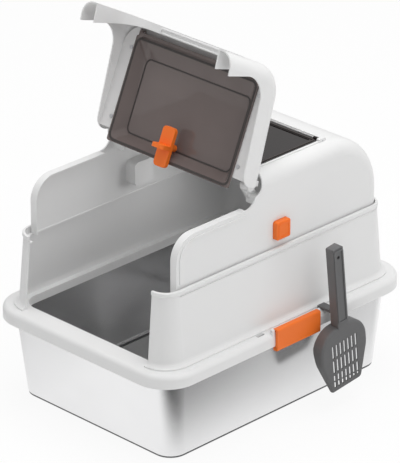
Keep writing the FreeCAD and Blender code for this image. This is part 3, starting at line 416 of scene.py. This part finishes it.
@dataclass
class Finishes:
    """Every finish of the box, made once."""

    white: bpy.types.Material = field(default_factory=MouldedPlastic(
        "white_plastic", (0.81, 0.81, 0.808), roughness=0.32, grain_depth=0.00002, mottle=0.012).make)
    # painted shade: a greyer copy of the white plastic, darkened because the lid's inner side lies in shade
    liner: bpy.types.Material = field(default_factory=MouldedPlastic(
        "liner_plastic_painted_shade", (0.73, 0.722, 0.72), roughness=0.36, grain_depth=0.00002, mottle=0.012).make)
    steel: bpy.types.Material = field(default_factory=PressedSteel(
        "pan_steel", (0.86, 0.86, 0.865), roughness=0.17, metal=0.95).make)
    tint: bpy.types.Material = field(default_factory=TintedSheet(
        "tinted_sheet", (0.172, 0.138, 0.131), cover=0.88).make)
    roof_tint: bpy.types.Material = field(default_factory=TintedSheet(
        "roof_sheet", (0.012, 0.008, 0.0075), cover=0.97).make)
    accent: bpy.types.Material = field(default_factory=MouldedPlastic(
        "accent_plastic", (0.93, 0.185, 0.018), roughness=0.46, mottle=0.05).make)
    scoop: bpy.types.Material = field(default_factory=MouldedPlastic(
        "scoop_plastic", (0.128, 0.128, 0.130), roughness=0.52, grain_depth=0.00008, mottle=0.06,
        scuff=0.2).make)
    pin: bpy.types.Material = field(default_factory=PressedSteel(
        "pin_steel", (0.62, 0.62, 0.64), roughness=0.34, line_scale=2600.0).make)
    # painted shadow: dark steel for the pan's hem, standing in for the contact shadow at the pan's heel
    foot: bpy.types.Material = field(default_factory=PressedSteel(
        "foot_steel_painted_shadow", (0.20, 0.20, 0.205), roughness=0.42).make)
    seal: bpy.types.Material = field(default_factory=MouldedPlastic(
        "dark_seal", (0.05, 0.042, 0.04), roughness=0.5, mottle=0.1).make)

    def for_node(self, name: str, slot: Slot) -> bpy.types.Material:
        """Choose the finish of a CAD node.

        Args:
            name: the node's name.
            slot: the record's material slot.

        Returns:
            The node's own finish where it has one, and otherwise its slot's.
        """
        # the lid liner gets the greyer copy of the white, which is painted shade
        own = {"rear_window": self.roof_tint, "lid_liner": self.liner}
        usual = {Slot.WHITE: self.white, Slot.STEEL: self.steel, Slot.TINT: self.tint,
                 Slot.ACCENT: self.accent, Slot.SCOOP: self.scoop, Slot.PIN: self.pin}
        return own.get(name, usual[slot])


@dataclass
class CadNodes:
    """The carried-over CAD nodes, which only get finishes."""

    finishes: Finishes

    def dress(self) -> None:
        """Give every node its finish."""
        slots = {row["node"]: Slot(row["material_slot"]) for row in frame["record"]["subparts"]}
        for name, node in frame["nodes"].items():
            material = self.finishes.for_node(name, slots[name])
            node.data.materials.clear()
            node.data.materials.append(material)
            log.info("dressed %s in %s", name, material.name)


def span(name: str) -> tuple[Vector, Vector]:
    """The corners of a CAD node's box.

    Args:
        name: the node's name.

    Returns:
        The lowest and the highest corner.
    """
    node = frame["nodes"][name]
    corners = [node.matrix_world @ Vector(corner) for corner in node.bound_box]
    return Vector(map(min, zip(*corners))), Vector(map(max, zip(*corners)))


@dataclass(frozen=True)
class Band:
    """The sizes of a flat rounded frame; a height below zero hangs down."""

    width: float
    length: float
    corner: float
    band: float
    height: float
    edge: float


@dataclass(frozen=True)
class Head:
    """The sizes of a round head with a dished face."""

    radius: float
    height: float
    dish: float


@dataclass
class Bench:
    """Modelling steps for new pieces, with the fineness of their roundings."""

    edge_segments: int = 3
    corner_segments: int = 8
    round_sides: int = 40
    smooth_angle: float = 35.0
    face_slope: float = 0.9
    head_rim_share: float = 0.32
    head_edge_share: float = 0.22

    @staticmethod
    def turn(piece: bpy.types.Object, degrees: Point, place: Point) -> None:
        """Turn and move a piece, then apply it.

        Args:
            piece: the piece to move, which stays active.
            degrees: turns about X, Y and Z.
            place: where its origin goes.
        """
        bpy.ops.object.select_all(action="DESELECT")
        piece.select_set(True)
        bpy.context.view_layer.objects.active = piece
        piece.rotation_euler = tuple(math.radians(angle) for angle in degrees)
        piece.location = place
        bpy.ops.object.transform_apply(location=True, rotation=True, scale=True)

    def soften(self, piece: bpy.types.Object, width: float) -> None:
        """Round a piece's sharp edges and shade it smooth.

        Args:
            piece: the piece to round, already active.
            width: how far each edge is drawn back.
        """
        bevel = piece.modifiers.new("soften", "BEVEL")
        bevel.width = width
        bevel.segments = self.edge_segments
        bevel.limit_method = "ANGLE"
        bpy.ops.object.modifier_apply(modifier=bevel.name)
        bpy.ops.object.shade_smooth_by_angle(angle=math.radians(self.smooth_angle))

    @staticmethod
    def crop(piece: bpy.types.Object, place: Point, onward: Point) -> None:
        """Cut away what lies behind a plane and close the cut.

        Args:
            piece: the piece to cut.
            place: a point of the plane.
            onward: the direction towards the side that stays.
        """
        bpy.context.view_layer.objects.active = piece
        bpy.ops.object.mode_set(mode="EDIT")
        bpy.ops.mesh.select_all(action="SELECT")
        bpy.ops.mesh.bisect(plane_co=place, plane_no=onward, use_fill=True, clear_inner=True)
        bpy.ops.object.mode_set(mode="OBJECT")

    def ring(self, name: str, sizes: Band) -> bpy.types.Object:
        """Model a flat rounded frame in the XY plane, raised along Z.

        Args:
            name: the piece's name.
            sizes: its sizes.

        Returns:
            The modelled piece.
        """
        bpy.ops.object.select_all(action="DESELECT")
        bpy.ops.mesh.primitive_plane_add(size=1.0)
        piece = bpy.context.active_object
        piece.name = piece.data.name = name
        piece.scale = (sizes.width, sizes.length, 1.0)
        bpy.ops.object.transform_apply(location=True, rotation=True, scale=True)
        bpy.ops.object.mode_set(mode="EDIT")
        bpy.ops.mesh.select_all(action="SELECT")
        bpy.ops.mesh.bevel(offset=sizes.corner, segments=self.corner_segments, affect="VERTICES")
        bpy.ops.mesh.select_all(action="SELECT")
        bpy.ops.mesh.inset(thickness=sizes.band)
        bpy.ops.mesh.delete(type="FACE")
        bpy.ops.mesh.select_all(action="SELECT")
        bpy.ops.mesh.extrude_region_move(TRANSFORM_OT_translate={"value": (0.0, 0.0, sizes.height)})
        bpy.ops.mesh.select_all(action="SELECT")
        bpy.ops.mesh.normals_make_consistent(inside=False)
        bpy.ops.object.mode_set(mode="OBJECT")
        self.soften(piece, sizes.edge)
        return piece

    def disc(self, name: str, sizes: Head) -> bpy.types.Object:
        """Model a round head with a dished face, standing on the XY plane.

        Args:
            name: the piece's name.
            sizes: its sizes.

        Returns:
            The modelled piece.
        """
        bpy.ops.object.select_all(action="DESELECT")
        middle = (0.0, 0.0, sizes.height / 2.0)
        bpy.ops.mesh.primitive_cylinder_add(vertices=self.round_sides, radius=sizes.radius,
                                            depth=sizes.height, location=middle)
        piece = bpy.context.active_object
        piece.name = piece.data.name = name
        bpy.ops.object.transform_apply(location=True, rotation=True, scale=True)
        for face in piece.data.polygons:
            face.select = face.normal.z > self.face_slope
        bpy.ops.object.mode_set(mode="EDIT")
        bpy.ops.mesh.select_mode(type="FACE")
        bpy.ops.mesh.inset(thickness=sizes.radius * self.head_rim_share)
        bpy.ops.mesh.extrude_region_move(TRANSFORM_OT_translate={"value": (0.0, 0.0, -sizes.dish)})
        bpy.ops.object.mode_set(mode="OBJECT")
        self.soften(piece, sizes.height * self.head_edge_share)
        return piece

    @staticmethod
    def copies(piece: bpy.types.Object, names: list[str]) -> list[bpy.types.Object]:
        """Repeat a modelled piece, each copy with a mesh of its own.

        Args:
            piece: the modelled piece, which already has the first name.
            names: the names of the whole set.

        Returns:
            The pieces in the order of their names.
        """
        pieces = [piece]
        for name in names[1:]:
            twin = piece.copy()
            twin.data = piece.data.copy()
            twin.name = twin.data.name = name
            bpy.context.collection.objects.link(twin)
            pieces.append(twin)
        return pieces

    @staticmethod
    def hand_over(piece: bpy.types.Object, body: Body, slot: Slot, finish: bpy.types.Material) -> None:
        """Give a finished piece its finish and the body that it rides on.

        Args:
            piece: the finished piece.
            body: the body that carries it.
            slot: the record's material slot; not used.
            finish: the material.
        """
        piece.data.materials.clear()
        piece.data.materials.append(finish)
        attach(piece, body.value)
        log.info("built %s on %s", piece.name, body.value)


@dataclass
class Trim:
    """What the trim of every sub-assembly is made with, and its modelled pieces."""

    finishes: Finishes
    bench: Bench
    lines: list[bpy.types.Object] = field(default_factory=list, init=False)
    heads: list[bpy.types.Object] = field(default_factory=list, init=False)

    def lay(self, name: str, sizes: Band, degrees: Point, place: Point) -> bpy.types.Object:
        """Model a frame and put it in its place.

        Args:
            name: the piece's name.
            sizes: its sizes.
            degrees: turns about X, Y and Z.
            place: where its middle goes.

        Returns:
            The placed frame, which is also kept among the lines.
        """
        piece = self.bench.ring(name, sizes)
        self.bench.turn(piece, degrees, place)
        self.lines.append(piece)
        return piece


@dataclass
class TrayTrim(Trim):
    """The bead and the stepped line of the tray window, and the screws of the liner beside it."""

    pivot: Point = (0.0, -0.0016245, 0.604129)
    lean: float = -113.8
    bead: Band = Band(width=0.284, length=0.182, corner=0.013, band=0.0040, height=-0.0004, edge=0.00015)
    bead_start: float = 0.0085
    flange: float = -0.006
    step: Band = Band(width=0.246, length=0.132, corner=0.012, band=0.0024, height=-0.0006, edge=0.0002)
    step_middle: float = 0.105
    sheet: float = 0.0128
    screw: Head = Head(radius=0.0034, height=0.0015, dish=0.0007)
    screw_out: float = 0.150
    screw_along: tuple[float, float] = (0.030, 0.152)
    liner: float = -0.0037

    def build(self) -> None:
        """Model the two lines and the four screws, flat at first and then leant with the open lid."""
        self.lay("tray_bead", self.bead, FLAT, (0.0, self.bead_start + self.bead.length / 2.0, self.flange))
        self.lay("tray_step", self.step, FLAT, (0.0, self.step_middle, self.sheet))
        seats = {f"liner_screw_{side.name.lower()}_{row}": (side.value * self.screw_out, along, self.liner)
                 for side in Side for row, along in enumerate(self.screw_along)}
        names = list(seats)
        self.heads = self.bench.copies(self.bench.disc(names[0], self.screw), names)
        for screw in self.heads:
            self.bench.turn(screw, (HALF_TURN, 0.0, 0.0), seats[screw.name])
        for piece in self.lines + self.heads:
            self.bench.turn(piece, (self.lean, 0.0, 0.0), self.pivot)

    def dress(self) -> None:
        """Dress the lines as dark seals and the screws as steel."""
        for line in self.lines:
            self.bench.hand_over(line, Body.TRAY, Slot.TINT, self.finishes.seal)
        for screw in self.heads:
            self.bench.hand_over(screw, Body.LID, Slot.PIN, self.finishes.pin)


@dataclass
class RoofTrim(Trim):
    """The bead on the roof window's border."""

    side_gap: float = 0.004
    rear_gap: float = 0.009
    border: float = 0.0034
    corner: float = 0.004
    band: float = 0.0025
    height: float = 0.0010
    edge: float = 0.0004

    def build(self) -> None:
        """Model the bead on top of the border."""
        low, high = span("rear_window")
        front = low.y + self.side_gap
        rear = high.y - self.rear_gap
        sizes = Band(high.x - low.x - 2.0 * self.side_gap, rear - front, self.corner, self.band, self.height,
                     self.edge)
        self.lay("roof_bead", sizes, FLAT, (0.0, (front + rear) / 2.0, low.z + self.border))

    def dress(self) -> None:
        """Dress the bead as a dark seal."""
        self.bench.hand_over(self.lines[0], Body.ROOF, Slot.TINT, self.finishes.seal)


@dataclass
class WallTrim(Trim):
    """The raised line under the fence's bead and the frame round the roof window's seat."""

    line: Band = Band(width=0.3614, length=0.5304, corner=0.0317, band=0.0030, height=0.0016, edge=0.0006)
    line_height: float = 0.2955
    line_end: float = -0.232
    border: Band = Band(width=0.2985, length=0.1690, corner=0.007, band=0.0050, height=0.0022, edge=0.0009)
    border_middle: float = 0.0640
    roof: float = 0.448
    sink: float = 0.0002

    def build(self) -> None:
        """Model the line, open at the entry, and the frame."""
        line = self.lay("fence_line", self.line, FLAT, (0.0, 0.0, self.line_height))
        self.bench.crop(line, (0.0, self.line_end, 0.0), (0.0, 1.0, 0.0))
        self.lay("roof_frame", self.border, FLAT, (0.0, self.border_middle, self.roof - self.sink))

    def dress(self) -> None:
        """Dress both in the walls' white."""
        for line in self.lines:
            self.bench.hand_over(line, Body.BASE, Slot.WHITE, self.finishes.white)


@dataclass
class LidTrim(Trim):
    """The finger grip on the lid's front lip and the heads of the hinge pins."""

    hinge: Point = (0.0, -0.051, 0.431)
    open_turn: float = -107.0
    grip: Band = Band(width=0.150, length=0.0105, corner=0.004, band=0.0026, height=-0.0022, edge=0.0008)
    grip_place: Point = (-0.003, -0.1995, -0.027)
    cap: Head = Head(radius=0.0050, height=0.0026, dish=0.0008)

    def build(self) -> None:
        """Model the grip on the shut lid, turn it open, and set a head on the inner end of each pin."""
        grip = self.lay("lid_grip", self.grip, FLAT, self.grip_place)
        self.bench.turn(grip, (self.open_turn, 0.0, 0.0), self.hinge)
        names = [f"hinge_cap_{side.name.lower()}" for side in Side]
        self.heads = self.bench.copies(self.bench.disc(names[0], self.cap), names)
        for cap, side in zip(self.heads, Side):
            low, high = span(f"lid_hinge_pin_{side.name.lower()}")
            end = high.x if side is Side.LEFT else low.x
            self.bench.turn(cap, (0.0, -QUARTER_TURN * side.value, 0.0), (end, self.hinge[1], self.hinge[2]))

    def dress(self) -> None:
        """Dress the grip in the lid's white and the heads as steel."""
        self.bench.hand_over(self.lines[0], Body.LID, Slot.WHITE, self.finishes.white)
        for cap in self.heads:
            self.bench.hand_over(cap, Body.BASE, Slot.PIN, self.finishes.pin)


@dataclass
class ButtonTrim(Trim):
    """The raised frame on each button's face."""

    bezel: Band = Band(width=0.0265, length=0.0265, corner=0.005, band=0.0024, height=0.0009, edge=0.0004)

    def build(self) -> None:
        """Model one frame and set a copy on each button."""
        names = [f"button_frame_{side.name.lower()}" for side in Side]
        self.lines = self.bench.copies(self.bench.ring(names[0], self.bezel), names)
        for bezel, side in zip(self.lines, Side):
            low, high = span(f"hood_button_{side.name.lower()}")
            middle = (low + high) / 2.0
            face = low.x if side is Side.LEFT else high.x
            self.bench.turn(bezel, (QUARTER_TURN, 0.0, QUARTER_TURN * side.value), (face, middle.y, middle.z))

    def dress(self) -> None:
        """Dress the frames in the buttons' colour."""
        for bezel, body in zip(self.lines, (Body.BUTTON_LEFT, Body.BUTTON_RIGHT)):
            self.bench.hand_over(bezel, body, Slot.ACCENT, self.finishes.accent)


@dataclass
class ScoopTrim(Trim):
    """The raised rail round the scoop's handle."""

    foot: Point = (0.2435, 0.099, 0.037)
    lean: float = 6.4
    half_thickness: float = 0.0085
    rail: Band = Band(width=0.0225, length=0.140, corner=0.0035, band=0.0034, height=0.0018, edge=0.0007)
    rail_middle: float = 0.197

    def build(self) -> None:
        """Model the rail on the handle's outer face."""
        upright = (QUARTER_TURN, 0.0, QUARTER_TURN)
        rail = self.lay("scoop_rail", self.rail, upright, (self.half_thickness, 0.0, self.rail_middle))
        self.bench.turn(rail, (self.lean, 0.0, 0.0), self.foot)

    def dress(self) -> None:
        """Dress the rail in the scoop's grey."""
        self.bench.hand_over(self.lines[0], Body.SCOOP, Slot.SCOOP, self.finishes.scoop)


@dataclass
class PanTrim(Trim):
    """A narrow hem round the pan's foot, in dark steel that paints the contact shadow at the pan's heel."""

    hem: Band = Band(width=0.3650, length=0.5150, corner=0.032, band=0.006, height=0.0022, edge=0.0008)
    lift: float = 0.0006

    def build(self) -> None:
        """Model the hem at the heel of the pan, the dark line of painted contact shadow."""
        self.lay("pan_hem", self.hem, FLAT, (0.0, 0.0, self.lift))

    def dress(self) -> None:
        """Dress the hem in dark steel, which paints the contact shadow."""
        self.bench.hand_over(self.lines[0], Body.BASE, Slot.STEEL, self.finishes.foot)


@dataclass(frozen=True)
class Lamp:
    """A square soft lamp, seen neither by the camera nor in reflections."""

    name: str
    place: Point
    power: float
    width: float

    def hang(self, target: Point) -> None:
        """Put the lamp up and aim it.

        Args:
            target: the point that it faces.
        """
        data = bpy.data.lights.new(self.name, "AREA")
        data.energy = self.power
        data.size = self.width
        lamp = bpy.data.objects.new(self.name, data)
        bpy.context.scene.collection.objects.link(lamp)
        lamp.location = self.place
        lamp.visible_camera = False
        lamp.visible_glossy = False
        aim = Vector(target) - Vector(self.place)
        lamp.rotation_euler = aim.to_track_quat("-Z", "Y").to_euler()


@dataclass
class Studio:
    """White floor, soft lamps and the camera."""

    azimuth: float = 44.75
    elevation: float = 25.35
    distance: float = 6.251
    target: Point = (0.0, 0.0, 0.260)
    focal_px: float = 3663.0
    long_side_px: float = 463.0
    shift_px: tuple[float, float] = (-1.63, 9.01)
    sensor_mm: float = 36.0
    view_reach: float = 100.0
    world_light: float = 0.48
    mirror_share: float = 0.25
    floor_half: float = 14.0
    floor_glow: float = 0.90
    paper_dark: Colour = (0.90, 0.90, 0.90)
    paper_light: Colour = (0.93, 0.93, 0.93)
    paper_roughness: float = 0.9
    fibre_scale: float = 300.0
    dark_from: float = 0.15
    dark_to: float = 0.36
    dark_reach: float = 0.6
    dark_near: float = -0.16
    dark_far: float = 0.90
    left_from: float = -0.65
    left_to: float = -0.12
    left_level: float = 0.50
    lamps: tuple[Lamp, ...] = (
        Lamp("key_lamp", (-2.2, -2.0, 2.6), power=6.0, width=2.6),
        Lamp("side_lamp", (3.0, -0.1, 2.6), power=28.0, width=2.6),
        Lamp("top_lamp", (0.0, 0.35, 3.4), power=68.0, width=2.8),
        Lamp("inner_lamp", (0.0, 0.11, 0.36), power=0.26, width=0.16),
    )

    def camera(self) -> None:
        """Set the camera to the photograph's view."""
        data = bpy.data.cameras.new("camera")
        data.sensor_width = self.sensor_mm
        data.lens = self.focal_px / self.long_side_px * self.sensor_mm
        data.shift_x = self.shift_px[0] / self.long_side_px
        data.shift_y = self.shift_px[1] / self.long_side_px
        data.clip_end = self.view_reach
        camera = bpy.data.objects.new("camera", data)
        bpy.context.scene.collection.objects.link(camera)
        around = math.radians(self.azimuth)
        up = math.radians(self.elevation)
        back = Vector((math.sin(around) * math.cos(up), -math.cos(around) * math.cos(up), math.sin(up)))
        camera.location = Vector(self.target) + back * self.distance
        camera.rotation_euler = (-back).to_track_quat("-Z", "Y").to_euler()
        bpy.context.scene.camera = camera

    def world(self) -> None:
        """Set even white surroundings, brighter where they are seen than where they light."""
        world = bpy.data.worlds.new("studio")
        bpy.context.scene.world = world
        graph = Graph(world, "Background")
        seen = graph.ray(Ray.CAMERA).most(graph.ray(Ray.TRANSMISSION))
        seen = seen.most(graph.ray(Ray.GLOSSY) * self.mirror_share)
        graph.set(Color=(*WHITE, 1.0), Strength=self.world_light + seen * (1.0 - self.world_light))

    def mirrored(self, graph: Graph) -> Wire:
        """How light the floor is in reflections: dark beside the box and grey to its left.

        Args:
            graph: the floor's shader graph.

        Returns:
            The level from 0 to 1 as a wire.
        """
        across = graph.node("ShaderNodeSeparateXYZ", {}, {0: graph.place()}, "X")
        along = graph.node("ShaderNodeSeparateXYZ", {}, {0: graph.place()}, "Y")
        beside = graph.remap(across, self.dark_from, self.dark_to, style="SMOOTHSTEP")
        behind = graph.remap(along, -self.dark_reach, self.dark_reach, self.dark_near, self.dark_far)
        left = graph.remap(across, self.left_from, self.left_to, self.left_level)
        return (1.0 + beside * (behind - 1.0)) * left

    def floor(self) -> None:
        """Lay a pale floor that shows white and keeps the object's shadow."""
        bpy.ops.object.select_all(action="DESELECT")
        bpy.ops.mesh.primitive_plane_add(size=2.0 * self.floor_half)
        floor = bpy.context.active_object
        floor.name = "floor"
        graph = Graph(bpy.data.materials.new("floor_paper"))
        paper = graph.tint(graph.noise(self.fibre_scale), self.paper_dark, self.paper_light)
        graph.set(Base_Color=paper, Roughness=self.paper_roughness)
        glossy = graph.ray(Ray.GLOSSY)
        level = 1.0 + (self.mirrored(graph) - 1.0) * glossy
        grey = graph.tint(level, BLACK, WHITE)
        glow = graph.node("ShaderNodeEmission", {}, {"Color": grey, "Strength": 1.0})
        seen = graph.ray(Ray.CAMERA) * self.floor_glow + glossy
        lit = Wire(graph, graph.shader.outputs[0])
        mixed = graph.node("ShaderNodeMixShader", {}, {0: seen, 1: lit, 2: glow})
        graph.feed(graph.tree.nodes["Material Output"].inputs["Surface"], mixed)
        floor.data.materials.append(graph.owner)

    def build(self) -> None:
        """Set up the whole studio."""
        bpy.context.scene.view_settings.view_transform = "Standard"
        self.world()
        self.floor()
        for lamp in self.lamps:
            lamp.hang(self.target)
        self.camera()
        log.info("studio ready")


def main() -> None:
    """Build everything in order."""
    logging.basicConfig(level=logging.INFO, format="%(name)s: %(message)s")
    finishes = Finishes()
    CadNodes(finishes).dress()
    bench = Bench()
    for kind in (TrayTrim, RoofTrim, WallTrim, LidTrim, ButtonTrim, ScoopTrim, PanTrim):
        trim = kind(finishes, bench)
        trim.build()
        trim.dress()
    Studio().build()


if __name__ == "__main__":
    main()
